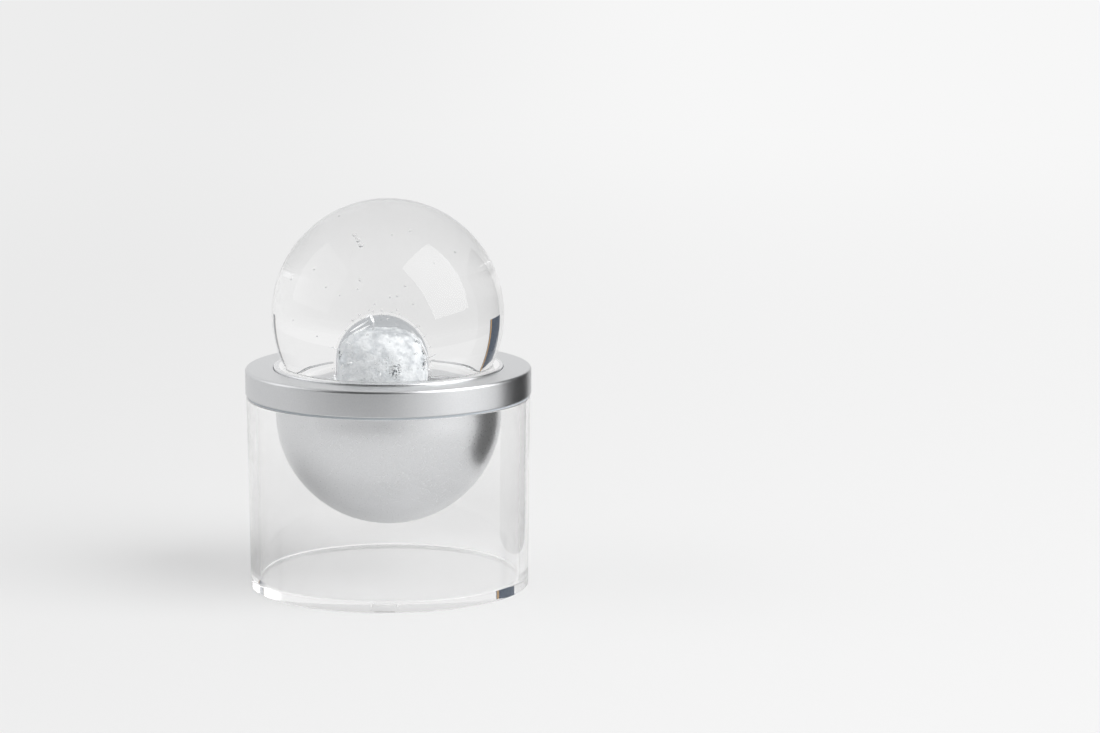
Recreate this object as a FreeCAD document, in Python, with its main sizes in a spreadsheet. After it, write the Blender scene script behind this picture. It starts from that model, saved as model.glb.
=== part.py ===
"""The lower half of an ice ball press: a clear cup, its collar, the mould bowl and the ice blank on it."""
import FreeCAD, Part
import math
import os
import Sketcher

doc = FreeCAD.newDocument("ice_ball_press")

# Driving sizes in millimetres. Heights run up from the table under the cup.
SIZES = {
    "cavity_radius": 31.0,
    "bowl_wall_thickness": 3.0,
    "bowl_neck_length": 10.9,
    "flange_width": 0.5,
    "bowl_clearance": 0.1,
    "rim_proud": 0.5,
    "rim_fillet": 0.35,
    "seat_land": 0.2,
    "seat_depth": 0.8,
    "drain_radius": 2.5,
    "drain_countersink": 0.8,
    "collar_width": 9.0,
    "collar_height": 8.0,
    "counterbore_depth": 2.5,
    "collar_top_fillet": 0.9,
    "collar_foot_fillet": 0.4,
    "collar_mouth_chamfer": 0.2,
    "collar_overhang": 0.3,
    "register_depth": 1.2,
    "register_clearance": 0.2,
    "gasket_thickness": 0.6,
    "gasket_inset": 0.2,
    "gasket_clearance": 0.3,
    "reservoir_depth": 15.9,
    "cup_wall_thickness": 3.0,
    "cup_floor_thickness": 3.3,
    "cup_taper": 0.7,
    "cup_edge_fillet": 0.3,
    "gate_mark_width": 8.0,
    "gate_mark_margin": 0.7,
    "gate_mark_depth": 0.35,
    "gate_button_width": 4.4,
    "gate_button_margin": 0.55,
    "gate_button_thickness": 0.25,
    "blank_oversize": 3.8,
    "blank_clearance": 0.3,
    "nucleus_radius": 11.0,
    "nucleus_drop": 10.5,
    "nucleus_clearance": 0.05,
}
sizes = doc.addObject("Spreadsheet::Sheet", "sizes")
for row, (alias, size) in enumerate(SIZES.items(), start=1):
    sizes.set(f"A{row}", alias)
    sizes.set(f"B{row}", str(size))
    sizes.setAlias(f"B{row}", alias)
doc.recompute()

# Sizes and places worked out from the driving sizes, as formulas that the features are bound to
BOWL_RADIUS = "(sizes.cavity_radius + sizes.bowl_wall_thickness)"
FLANGE_RADIUS = f"({BOWL_RADIUS} + sizes.flange_width)"
BORE_RADIUS = f"({BOWL_RADIUS} + sizes.bowl_clearance)"
COUNTERBORE_RADIUS = f"({FLANGE_RADIUS} + sizes.bowl_clearance)"
COUNTERBORE_FLOOR = "(sizes.collar_height - sizes.counterbore_depth)"
COLLAR_RADIUS = f"({BORE_RADIUS} + sizes.collar_width)"
CUP_RIM_RADIUS = f"({COLLAR_RADIUS} - sizes.collar_overhang)"
CUP_BASE_RADIUS = f"({CUP_RIM_RADIUS} - sizes.cup_taper)"
CUP_MOUTH_RADIUS = f"({CUP_RIM_RADIUS} - sizes.cup_wall_thickness)"
REGISTER_RADIUS = f"({CUP_MOUTH_RADIUS} - sizes.register_clearance)"
FLANGE_SEAT = (
    f"(sizes.cup_floor_thickness + sizes.reservoir_depth + {BOWL_RADIUS} + sizes.bowl_neck_length)"
)
COLLAR_UNDERSIDE = f"({FLANGE_SEAT} - {COUNTERBORE_FLOOR})"
CUP_HEIGHT = f"({COLLAR_UNDERSIDE} - sizes.gasket_thickness)"
CUP_RADIUS_AT_FLOOR = f"({CUP_BASE_RADIUS} + sizes.cup_taper * sizes.cup_floor_thickness / {CUP_HEIGHT})"
WALL_HEIGHT = f"({CUP_HEIGHT} - sizes.cup_floor_thickness)"
RIM_HEIGHT = "(sizes.counterbore_depth + sizes.rim_proud)"
SEAT_RADIUS = "(sizes.cavity_radius + sizes.seat_land)"
BLANK_RADIUS = f"({SEAT_RADIUS} + sizes.blank_oversize)"
BLANK_RISE = f"sqrt({BLANK_RADIUS} ^ 2 - {SEAT_RADIUS} ^ 2)"
SEAT_FLARE = f"({BLANK_RISE} / {SEAT_RADIUS})"
SEAT_TOP_RADIUS = f"({SEAT_RADIUS} + sizes.seat_depth * {SEAT_FLARE})"
SEAT_FOOT = f"({RIM_HEIGHT} - sizes.seat_depth - sizes.seat_land / {SEAT_FLARE})"
BLANK_CENTRE = (
    f"({FLANGE_SEAT} + {RIM_HEIGHT} - sizes.seat_depth + {BLANK_RISE} + sizes.blank_clearance)"
)
MID_FLOOR = "(sizes.cup_floor_thickness / 2)"
GATE_MARK_HEIGHT = "(sizes.cup_floor_thickness - 2 * sizes.gate_mark_margin)"
GATE_BUTTON_HEIGHT = f"({GATE_MARK_HEIGHT} - 2 * sizes.gate_button_margin)"
GATE_MARK_PLANE = f"{CUP_BASE_RADIUS} - sizes.gate_mark_depth"


def value(formula):
    """The number that a formula gives now."""
    return float(sizes.evalExpression(formula))


def new_body(name, seat_height):
    """A piece with its own frame, whose zero height stands at seat_height above the table."""
    body = doc.addObject("PartDesign::Body", name)
    body.Label = name
    body.setExpression("Placement.Base.z", seat_height)
    return body


def sketch_on(body, role, name):
    """An empty sketch on one of the body's own origin planes."""
    plane = next(feature for feature in body.Origin.OriginFeatures if feature.Role == role)
    sketch = body.newObject("Sketcher::SketchObject", name)
    sketch.AttachmentSupport = [(plane, "")]
    sketch.MapMode = "FlatFace"
    return sketch


def bind(sketch, kind, references, formula):
    """Adds a dimension that follows a formula."""
    dimension = Sketcher.Constraint(kind, *references, value(formula))
    sketch.setExpression(f"Constraints[{sketch.addConstraint(dimension)}]", formula)


def bind_corner(sketch, corner, across, up):
    """Holds a corner at its distances from the origin. None leaves that distance to the arc it ends."""
    if across == "0":
        sketch.addConstraint(Sketcher.Constraint("PointOnObject", *corner, -2))
    elif across is not None:
        bind(sketch, "DistanceX", (-1, 1, *corner), across)
    if up == "0":
        sketch.addConstraint(Sketcher.Constraint("PointOnObject", *corner, -1))
    elif up is not None:
        bind(sketch, "DistanceY", (-1, 1, *corner), up)


def outline(sketch, corners, edges, arc_ends=()):
    """Draws lines, and anticlockwise arcs where an edge names a centre, between named corners.

    An arc already fixes the height of the corners in arc_ends, so only their distance across is held.
    """
    places = {name: FreeCAD.Vector(value(x), value(y), 0) for name, (x, y) in corners.items()}
    met = {}
    for number, (start, end, *centre) in enumerate(edges):
        if centre:
            spokes = [places[name] - places[centre[0]] for name in (start, end)]
            angles = [math.atan2(spoke.y, spoke.x) for spoke in spokes]
            circle = Part.Circle(places[centre[0]], FreeCAD.Vector(0, 0, 1), spokes[0].Length)
            sketch.addGeometry(Part.ArcOfCircle(circle, *angles))
            bind_corner(sketch, (number, 3), *corners[centre[0]])
        else:
            sketch.addGeometry(Part.LineSegment(places[start], places[end]))
        for name, vertex in ((start, 1), (end, 2)):
            if name in met:
                sketch.addConstraint(Sketcher.Constraint("Coincident", *met[name], number, vertex))
            else:
                met[name] = (number, vertex)
    for name, corner in met.items():
        across, up = corners[name]
        bind_corner(sketch, corner, across, None if name in arc_ends else up)


def loop(*names):
    """The edges of a closed run of straight lines."""
    return list(zip(names, names[1:] + names[:1]))


def revolve(body, sketch, name):
    """Turns a half profile about the piece's own upright axis."""
    turned = body.newObject("PartDesign::Revolution", name)
    turned.Profile = sketch
    turned.ReferenceAxis = (sketch, ["V_Axis"])
    turned.Angle = 360
    doc.recompute()
    return turned


def ring_edges(feature, radius, height):
    """The names of the round edges with this radius about the axis at this height."""
    found = []
    for number, edge in enumerate(feature.Shape.Edges, start=1):
        if edge.Degenerated or not isinstance(edge.Curve, Part.Circle):
            continue
        same_radius = abs(edge.Curve.Radius - value(radius)) < 1e-4
        same_height = abs(edge.Curve.Center.z - value(height)) < 1e-4
        if same_radius and same_height:
            found.append(f"Edge{number}")
    return found


def soften(body, kind, name, base, edges, dimension, formula):
    """Fillets or chamfers edges of the last feature by a size that follows a formula."""
    softened = body.newObject(f"PartDesign::{kind}", name)
    softened.Base = (base, edges)
    softened.setExpression(dimension, formula)
    doc.recompute()
    return softened


def oval(sketch, width, height, up):
    """A level slot with round ends, centred on the upright axis at the height up."""
    reach = f"({width} - {height}) / 2"
    low, high = f"{up} - {height} / 2", f"{up} + {height} / 2"
    corners = {
        "left_low": (f"-({reach})", low),
        "right_low": (reach, low),
        "right_high": (reach, high),
        "left_high": (f"-({reach})", high),
        "right_centre": (reach, up),
        "left_centre": (f"-({reach})", up),
    }
    edges = [
        ("left_low", "right_low"),
        ("right_low", "right_high", "right_centre"),
        ("right_high", "left_high"),
        ("left_high", "left_low", "left_centre"),
    ]
    outline(sketch, corners, edges, arc_ends=("right_high", "left_high"))


def ball(body, name, radius):
    """A solid ball about the piece's own origin."""
    sketch = sketch_on(body, "XZ_Plane", f"{name}_half_disc")
    corners = {"foot": ("0", f"-{radius}"), "crown": ("0", radius), "centre": ("0", "0")}
    outline(sketch, corners, [("foot", "crown", "centre"), ("crown", "foot")], arc_ends=("crown",))
    return revolve(body, sketch, name)


# Floor of the cup: a clear acrylic disc with a polished edge and the small oval mark left by its gate
cup_floor = new_body("cup_floor", "0")
floor_sketch = sketch_on(cup_floor, "XZ_Plane", "floor_section")
floor_corners = {
    "axis_foot": ("0", "0"),
    "edge_foot": (CUP_BASE_RADIUS, "0"),
    "edge_top": (CUP_RADIUS_AT_FLOOR, "sizes.cup_floor_thickness"),
    "axis_top": ("0", "sizes.cup_floor_thickness"),
}
outline(floor_sketch, floor_corners, loop(*floor_corners))
floor_disc = revolve(cup_floor, floor_sketch, "floor_disc")
floor_edge = ring_edges(floor_disc, CUP_BASE_RADIUS, "0")
floor_disc = soften(
    cup_floor, "Fillet", "floor_foot_fillet", floor_disc, floor_edge, "Radius", "sizes.cup_edge_fillet"
)
gate_sketch = sketch_on(cup_floor, "XZ_Plane", "gate_mark_oval")
gate_sketch.setExpression("AttachmentOffset.Base.z", GATE_MARK_PLANE)
oval(gate_sketch, "sizes.gate_mark_width", GATE_MARK_HEIGHT, MID_FLOOR)
gate_recess = cup_floor.newObject("PartDesign::Pocket", "gate_recess")
gate_recess.Profile = gate_sketch
gate_recess.Type = "ThroughAll"
gate_recess.Reversed = True
doc.recompute()
button_sketch = sketch_on(cup_floor, "XZ_Plane", "gate_button_oval")
button_sketch.setExpression("AttachmentOffset.Base.z", GATE_MARK_PLANE)
oval(button_sketch, "sizes.gate_button_width", GATE_BUTTON_HEIGHT, MID_FLOOR)
gate_button = cup_floor.newObject("PartDesign::Pad", "gate_button")
gate_button.Profile = button_sketch
gate_button.setExpression("Length", "sizes.gate_button_thickness")
doc.recompute()

# Wall of the cup: a clear tube with a slight draft, bonded on the floor with its edge flush
cup_wall = new_body("cup_wall", "sizes.cup_floor_thickness")
wall_sketch = sketch_on(cup_wall, "XZ_Plane", "wall_section")
wall_corners = {
    "outer_foot": (CUP_RADIUS_AT_FLOOR, "0"),
    "outer_rim": (CUP_RIM_RADIUS, WALL_HEIGHT),
    "inner_rim": (CUP_MOUTH_RADIUS, WALL_HEIGHT),
    "inner_foot": (f"{CUP_RADIUS_AT_FLOOR} - sizes.cup_wall_thickness", "0"),
}
outline(wall_sketch, wall_corners, loop(*wall_corners))
wall_tube = revolve(cup_wall, wall_sketch, "wall_tube")
rim_edges = ring_edges(wall_tube, CUP_RIM_RADIUS, WALL_HEIGHT)
rim_edges += ring_edges(wall_tube, CUP_MOUTH_RADIUS, WALL_HEIGHT)
soften(cup_wall, "Fillet", "wall_rim_fillet", wall_tube, rim_edges, "Radius", "sizes.cup_edge_fillet")

# Gasket: a flat silicone washer between the cup's rim and the collar
collar_gasket = new_body("collar_gasket", CUP_HEIGHT)
gasket_sketch = sketch_on(collar_gasket, "XY_Plane", "gasket_rings")
for radius in (f"{CUP_RIM_RADIUS} - sizes.gasket_inset", f"{REGISTER_RADIUS} + sizes.gasket_clearance"):
    ring = gasket_sketch.addGeometry(Part.Circle(FreeCAD.Vector(), FreeCAD.Vector(0, 0, 1), value(radius)))
    gasket_sketch.addConstraint(Sketcher.Constraint("Coincident", ring, 3, -1, 1))
    bind(gasket_sketch, "Radius", (ring,), radius)
washer = collar_gasket.newObject("PartDesign::Pad", "gasket_washer")
washer.Profile = gasket_sketch
washer.setExpression("Length", "sizes.gasket_thickness")
doc.recompute()

# Collar: a turned aluminium ring, counterbored for the bowl's flange. Its register centres it in the cup.
collar_ring = new_body("collar_ring", COLLAR_UNDERSIDE)
collar_sketch = sketch_on(collar_ring, "XZ_Plane", "collar_section")
collar_corners = {
    "bore_foot": (BORE_RADIUS, "-sizes.register_depth"),
    "register_foot": (REGISTER_RADIUS, "-sizes.register_depth"),
    "register_root": (REGISTER_RADIUS, "0"),
    "underside_edge": (COLLAR_RADIUS, "0"),
    "top_edge": (COLLAR_RADIUS, "sizes.collar_height"),
    "mouth": (COUNTERBORE_RADIUS, "sizes.collar_height"),
    "counterbore_root": (COUNTERBORE_RADIUS, COUNTERBORE_FLOOR),
    "shoulder": (BORE_RADIUS, COUNTERBORE_FLOOR),
}
outline(collar_sketch, collar_corners, loop(*collar_corners))
collar = revolve(collar_ring, collar_sketch, "collar_turning")
top_edge = ring_edges(collar, COLLAR_RADIUS, "sizes.collar_height")
collar = soften(
    collar_ring, "Fillet", "collar_top_fillet", collar, top_edge, "Radius", "sizes.collar_top_fillet"
)
foot_edge = ring_edges(collar, COLLAR_RADIUS, "0")
collar = soften(
    collar_ring, "Fillet", "collar_foot_fillet", collar, foot_edge, "Radius", "sizes.collar_foot_fillet"
)
mouth_edge = ring_edges(collar, COUNTERBORE_RADIUS, "sizes.collar_height")
soften(
    collar_ring, "Chamfer", "collar_mouth_chamfer", collar, mouth_edge, "Size", "sizes.collar_mouth_chamfer"
)

# Mould bowl: a spun and turned aluminium shell. Its flange drops into the collar's counterbore, its conical
# seat is tangent to the blank, its inside is the half sphere that the blank melts down into, and a drain
# lets the melt run into the cup.
mould_bowl = new_body("mould_bowl", FLANGE_SEAT)
bowl_sketch = sketch_on(mould_bowl, "XZ_Plane", "bowl_section")
bowl_corners = {
    "seat_top": (SEAT_TOP_RADIUS, RIM_HEIGHT),
    "seat_foot": ("sizes.cavity_radius", SEAT_FOOT),
    "cavity_side": ("sizes.cavity_radius", "-sizes.bowl_neck_length"),
    "cavity_pole": ("0", "-sizes.bowl_neck_length - sizes.cavity_radius"),
    "outer_pole": ("0", f"-sizes.bowl_neck_length - {BOWL_RADIUS}"),
    "outer_side": (BOWL_RADIUS, "-sizes.bowl_neck_length"),
    "neck_top": (BOWL_RADIUS, "0"),
    "flange_foot": (FLANGE_RADIUS, "0"),
    "flange_top": (FLANGE_RADIUS, RIM_HEIGHT),
    "centre": ("0", "-sizes.bowl_neck_length"),
}
bowl_edges = [
    ("seat_top", "seat_foot"),
    ("seat_foot", "cavity_side"),
    ("cavity_pole", "cavity_side", "centre"),
    ("cavity_pole", "outer_pole"),
    ("outer_pole", "outer_side", "centre"),
    ("outer_side", "neck_top"),
    ("neck_top", "flange_foot"),
    ("flange_foot", "flange_top"),
    ("flange_top", "seat_top"),
]
outline(bowl_sketch, bowl_corners, bowl_edges, arc_ends=("cavity_pole", "outer_pole"))
shell = revolve(mould_bowl, bowl_sketch, "bowl_shell")
rim_edge = ring_edges(shell, FLANGE_RADIUS, RIM_HEIGHT)
shell = soften(mould_bowl, "Fillet", "bowl_rim_fillet", shell, rim_edge, "Radius", "sizes.rim_fillet")
drain_sketch = sketch_on(mould_bowl, "XY_Plane", "drain_circle")
drain_ring = drain_sketch.addGeometry(
    Part.Circle(FreeCAD.Vector(), FreeCAD.Vector(0, 0, 1), value("sizes.drain_radius"))
)
drain_sketch.addConstraint(Sketcher.Constraint("Coincident", drain_ring, 3, -1, 1))
bind(drain_sketch, "Radius", (drain_ring,), "sizes.drain_radius")
drain = mould_bowl.newObject("PartDesign::Pocket", "drain_hole")
drain.Profile = drain_sketch
drain.Type = "ThroughAll"
doc.recompute()
CAVITY_AT_DRAIN = "-sizes.bowl_neck_length - sqrt(sizes.cavity_radius ^ 2 - sizes.drain_radius ^ 2)"
drain_edge = ring_edges(drain, "sizes.drain_radius", CAVITY_AT_DRAIN)
soften(
    mould_bowl, "Chamfer", "drain_countersink", drain, drain_edge, "Size", "sizes.drain_countersink"
)

# Ice blank: a clear ball, larger than the cavity, resting on the bowl's seat, hollow round its cloudy nucleus
ice_ball = new_body("ice_ball", BLANK_CENTRE)
blank = ball(ice_ball, "blank", BLANK_RADIUS)
hollow_sketch = sketch_on(ice_ball, "XZ_Plane", "nucleus_hollow_half_disc")
hollow_corners = {
    "foot": ("0", "-sizes.nucleus_drop - sizes.nucleus_radius"),
    "crown": ("0", "-sizes.nucleus_drop + sizes.nucleus_radius"),
    "centre": ("0", "-sizes.nucleus_drop"),
}
outline(hollow_sketch, hollow_corners, [("foot", "crown", "centre"), ("crown", "foot")], arc_ends=("crown",))
hollow = ice_ball.newObject("PartDesign::Groove", "nucleus_hollow")
hollow.Profile = hollow_sketch
hollow.ReferenceAxis = (hollow_sketch, ["V_Axis"])
hollow.Angle = 360
doc.recompute()

# Nucleus: the frosted ice that froze last, low inside the blank
ice_core = new_body("ice_core", f"{BLANK_CENTRE} - sizes.nucleus_drop")
ball(ice_core, "nucleus", "(sizes.nucleus_radius - sizes.nucleus_clearance)")

doc.recompute()

# Cuts that must have removed something, each with the feature before it
for cut, before in ((gate_recess, floor_disc), (drain, shell), (hollow, blank)):
    if not cut.Shape.Volume < before.Shape.Volume:
        raise RuntimeError(f"{cut.Label} removes nothing")

pieces = [item for item in doc.Objects if item.TypeId == "PartDesign::Body"]
for item in doc.Objects:
    if {"Invalid", "Error"} & set(item.State):
        raise RuntimeError(f"{item.Label} failed: {item.State}")
for piece in pieces:
    if piece.Shape.isNull() or not piece.Shape.isValid() or len(piece.Shape.Solids) != 1:
        raise RuntimeError(f"{piece.Label} is not one valid solid")

os.makedirs("parts", exist_ok=True)
for piece in pieces:
    piece.Shape.exportStep(f"parts/{piece.Label}.step")
    box = piece.Shape.optimalBoundingBox(False)
    print(f"{piece.Label}: {box.ZMin:.2f} to {box.ZMax:.2f} mm high, {box.XLength:.2f} mm across,"
          f" {piece.Shape.Volume / 1000:.2f} ml")
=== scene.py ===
import math
import random

import bpy
from mathutils import Matrix, Quaternion, Vector


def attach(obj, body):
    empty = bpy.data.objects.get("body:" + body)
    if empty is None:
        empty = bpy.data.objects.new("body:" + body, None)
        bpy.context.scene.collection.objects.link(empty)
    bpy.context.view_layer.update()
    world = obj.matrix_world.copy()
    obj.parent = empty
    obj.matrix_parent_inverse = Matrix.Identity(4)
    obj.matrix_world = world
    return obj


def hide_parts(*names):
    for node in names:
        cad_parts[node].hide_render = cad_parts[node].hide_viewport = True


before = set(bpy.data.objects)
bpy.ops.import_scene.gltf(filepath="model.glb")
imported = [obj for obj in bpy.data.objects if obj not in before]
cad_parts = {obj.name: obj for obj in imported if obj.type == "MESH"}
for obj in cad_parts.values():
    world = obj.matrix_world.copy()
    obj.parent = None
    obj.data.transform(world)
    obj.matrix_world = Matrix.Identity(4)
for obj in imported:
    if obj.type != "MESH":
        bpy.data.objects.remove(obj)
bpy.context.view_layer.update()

MM = 0.001

# Camera
# Stands a little over a metre in front, level across, and looks slightly down at the press.
CAMERA_PLACE = (0.048707, -1.247138, 0.283924)
CAMERA_TILT = math.radians(80.11)
CAMERA_LENS = 137.45

camera_settings = bpy.data.cameras.new("camera")
camera_settings.lens = CAMERA_LENS
camera = bpy.data.objects.new("camera", camera_settings)
camera.location = CAMERA_PLACE
camera.rotation_euler = (CAMERA_TILT, 0, 0)
bpy.context.scene.collection.objects.link(camera)
bpy.context.scene.camera = camera
bpy.context.scene.view_settings.view_transform = "Standard"

# Floor
# A wide sheet of matt pale paper, a little paler on the lit side. Near the press it mostly follows the
# light, so that the press keeps its soft shadow. Further out it fades into the backdrop's own tone, also in
# metal and in clear pieces. Seen through clear pieces, a ring of it round the press is a little darker: a
# painted shadow.
FLOOR_WIDTH = 12.0
FLOOR_DROP = 0.1 * MM
PAPER = "#EFEFEF"
# Painted shadow: the paper's tone in a ring round the press, seen only through clear pieces.
PAPER_SHADED = "#E5E5E5"
PAPER_LEFT = "#EDEDED"
PAPER_RIGHT = "#F7F7F7"
PAPER_SPREAD = 180 * MM
PAPER_GLOW = 0.5
PAPER_GLOW_INDIRECT = 0.1
PAPER_FADE = (120 * MM, 1200 * MM)
PAPER_RING = ((50 * MM, 90 * MM), (120 * MM, 260 * MM))


def linear(shade):
    """The linear red, green, blue and alpha of an sRGB hex colour."""
    channels = [int(shade[place:place + 2], 16) / 255 for place in (1, 3, 5)]
    return [c / 12.92 if c <= 0.04045 else ((c + 0.055) / 1.055) ** 2.4 for c in channels] + [1.0]


def add_node(material, kind, inputs=None, **settings):
    """Adds a node. An input that is given an output socket is linked to it, and any other is set."""
    node = material.node_tree.nodes.new(kind)
    for name, setting in settings.items():
        setattr(node, name, setting)
    for name, source in (inputs or {}).items():
        if isinstance(source, bpy.types.NodeSocket):
            material.node_tree.links.new(source, node.inputs[name])
        else:
            node.inputs[name].default_value = source
    return node


def new_material(name):
    """An empty node material."""
    material = bpy.data.materials.new(name)
    material.use_nodes = True
    material.node_tree.nodes.clear()
    return material


paper = new_material("matt_paper")
paper_place = add_node(paper, "ShaderNodeTexCoord")
paper_parts = add_node(paper, "ShaderNodeSeparateXYZ", {0: paper_place.outputs["Object"]})
paper_across = add_node(
    paper,
    "ShaderNodeMapRange",
    {"Value": paper_parts.outputs["X"], "From Min": -PAPER_SPREAD, "From Max": PAPER_SPREAD},
    interpolation_type="SMOOTHSTEP",
)
paper_colour = add_node(
    paper,
    "ShaderNodeMix",
    {"Factor": paper_across.outputs[0], 6: linear(PAPER_LEFT), 7: linear(PAPER_RIGHT)},
    data_type="RGBA",
)
paper_glow = add_node(paper, "ShaderNodeEmission", {"Color": paper_colour.outputs[2]})
paper_path = add_node(paper, "ShaderNodeLightPath")
paper_distance = add_node(
    paper, "ShaderNodeVectorMath", {0: paper_place.outputs["Object"]}, operation="LENGTH"
)
# A ring round the press, seen only through clear pieces, where the paper takes a painted shadow.
paper_beyond = add_node(
    paper,
    "ShaderNodeMapRange",
    {
        "Value": paper_distance.outputs["Value"],
        "From Min": PAPER_RING[0][0],
        "From Max": PAPER_RING[0][1],
        "To Max": paper_path.outputs["Is Transmission Ray"],
    },
    interpolation_type="SMOOTHSTEP",
)
paper_shadow_ring = add_node(
    paper,
    "ShaderNodeMapRange",
    {
        "Value": paper_distance.outputs["Value"],
        "From Min": PAPER_RING[1][0],
        "From Max": PAPER_RING[1][1],
        "To Min": paper_beyond.outputs[0],
        "To Max": 0.0,
    },
    interpolation_type="SMOOTHSTEP",
)
paper_tone = add_node(
    paper,
    "ShaderNodeMix",
    {"Factor": paper_shadow_ring.outputs[0], 6: linear(PAPER), 7: linear(PAPER_SHADED)},
    data_type="RGBA",
)
paper_matt = add_node(paper, "ShaderNodeBsdfDiffuse", {"Color": paper_tone.outputs[2]})
paper_indirect = add_node(
    paper,
    "ShaderNodeMath",
    {0: paper_path.outputs["Is Glossy Ray"], 1: paper_path.outputs["Is Transmission Ray"]},
    operation="MAXIMUM",
)
paper_seen = add_node(
    paper,
    "ShaderNodeMath",
    {0: paper_path.outputs["Is Camera Ray"], 1: paper_indirect.outputs[0]},
    operation="MAXIMUM",
)
paper_direct = add_node(
    paper, "ShaderNodeMath", {0: paper_path.outputs["Is Camera Ray"], 1: PAPER_GLOW}, operation="MULTIPLY"
)
paper_near = add_node(
    paper,
    "ShaderNodeMath",
    {0: paper_indirect.outputs[0], 1: PAPER_GLOW_INDIRECT, 2: paper_direct.outputs[0]},
    operation="MULTIPLY_ADD",
)
paper_share = add_node(
    paper,
    "ShaderNodeMapRange",
    {
        "Value": paper_distance.outputs["Value"],
        "From Min": PAPER_FADE[0],
        "From Max": PAPER_FADE[1],
        "To Min": paper_near.outputs[0],
        "To Max": paper_seen.outputs[0],
    },
    interpolation_type="SMOOTHSTEP",
)
paper_mix = add_node(
    paper,
    "ShaderNodeMixShader",
    {0: paper_share.outputs[0], 1: paper_matt.outputs[0], 2: paper_glow.outputs[0]},
)
add_node(paper, "ShaderNodeOutputMaterial", {"Surface": paper_mix.outputs[0]})

bpy.ops.object.select_all(action="DESELECT")
bpy.ops.mesh.primitive_plane_add(size=FLOOR_WIDTH, location=(0, 0, -FLOOR_DROP))
floor = bpy.context.object
floor.name = "paper_floor"
floor.data.materials.append(paper)

# Studio light
# Pale walls all round, which darken to an unlit room in front of the press and above it, less so where
# clear pieces show it. One large softbox stands at the front right, and a dimmer panel at the left. Neither
# lamp is seen through clear pieces.
WALL = "#F2F2F2"
WALL_LIGHT = 0.48
ROOM_WAY = Vector((-0.42, -0.80, 0.38))
ROOM_EDGE = (0.2, 0.85)
ROOM_SHADE = 0.03
ROOM_SHADE_THROUGH = 0.5
LAMP_AIM = Vector((0, 0, 80 * MM))
LAMP_DISTANCE = 3.0
LAMPS = [
    ("softbox", (0.768, -0.348, 0.55), (2.56, 3.46), math.radians(6), 3.8),
    ("panel", (-0.88, -0.09, 0.47), (3.0, 2.4), 0, 0.9),
]

studio = bpy.data.worlds.new("studio")
bpy.context.scene.world = studio
studio.use_nodes = True
studio.node_tree.nodes.clear()
way = add_node(studio, "ShaderNodeTexCoord")
towards_room = add_node(
    studio,
    "ShaderNodeVectorMath",
    {0: way.outputs["Generated"], 1: ROOM_WAY.normalized()},
    operation="DOT_PRODUCT",
)
studio_path = add_node(studio, "ShaderNodeLightPath")
room_shade = add_node(
    studio,
    "ShaderNodeMix",
    {"Factor": studio_path.outputs["Is Transmission Ray"], 2: ROOM_SHADE, 3: ROOM_SHADE_THROUGH},
    data_type="FLOAT",
)
room_level = add_node(
    studio,
    "ShaderNodeMapRange",
    {
        "Value": towards_room.outputs["Value"],
        "From Min": ROOM_EDGE[0],
        "From Max": ROOM_EDGE[1],
        "To Min": 1.0,
        "To Max": room_shade.outputs[0],
    },
    interpolation_type="SMOOTHSTEP",
)
reflected = add_node(
    studio,
    "ShaderNodeMath",
    {0: studio_path.outputs["Is Glossy Ray"], 1: studio_path.outputs["Is Transmission Ray"]},
    operation="MAXIMUM",
)
wall_level = add_node(
    studio,
    "ShaderNodeMix",
    {"Factor": reflected.outputs[0], 2: WALL_LIGHT, 3: room_level.outputs[0]},
    data_type="FLOAT",
)
wall_seen = add_node(
    studio,
    "ShaderNodeMix",
    {"Factor": studio_path.outputs["Is Camera Ray"], 2: wall_level.outputs[0], 3: 1.0},
    data_type="FLOAT",
)
wall_glow = add_node(
    studio, "ShaderNodeBackground", {"Color": linear(WALL), "Strength": wall_seen.outputs[0]}
)
add_node(studio, "ShaderNodeOutputWorld", {"Surface": wall_glow.outputs[0]})

for name, way_to_lamp, size, roll, radiance in LAMPS:
    lamp_light = bpy.data.lights.new(name, "AREA")
    lamp_light.shape = "RECTANGLE"
    lamp_light.size, lamp_light.size_y = size
    lamp_light.energy = radiance * math.pi * size[0] * size[1]
    lamp = bpy.data.objects.new(name, lamp_light)
    lamp.location = LAMP_AIM + Vector(way_to_lamp).normalized() * LAMP_DISTANCE
    lamp_turn = Vector(way_to_lamp).to_track_quat("Z", "Y") @ Quaternion((0, 0, 1), roll)
    lamp.rotation_euler = lamp_turn.to_euler()
    lamp.visible_transmission = False
    bpy.context.scene.collection.objects.link(lamp)

# Dark cards
# A roll of black card at the right and a grey cloth on the floor in front are seen only as reflections, and
# give the metal its dark edge and its duller front. Two slate cards far behind, each with a warm edge, are
# seen only through clear pieces, which draw them out as dark slivers.
BLACK_CARD = "#111214"
ROLL_PLACE = (115 * MM, 40 * MM)
ROLL_RADIUS = 42 * MM
ROLL_HEIGHT = 134 * MM
ROLL_SIDES = 96
CLOTH = "#8A8C8E"
CLOTH_PLACE = (-1.05, -1.45)
CLOTH_SIZE = (2.4, 2.1)
SLATE = "#4A5462"
OCHRE = "#B8966C"
CARDS = [
    ("left_card", SLATE, (-606, 596), (224, 290)),
    ("left_edge", OCHRE, (-538, 662), (18, 290)),
    ("right_card", SLATE, (679, 511), (96, 364)),
    ("right_edge", OCHRE, (651, 545), (7, 364)),
]


def card_paint(name, shade):
    """Matt painted card."""
    paint = new_material(name)
    paint_matt = add_node(paint, "ShaderNodeBsdfDiffuse", {"Color": linear(shade)})
    add_node(paint, "ShaderNodeOutputMaterial", {"Surface": paint_matt.outputs[0]})
    return paint


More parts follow.
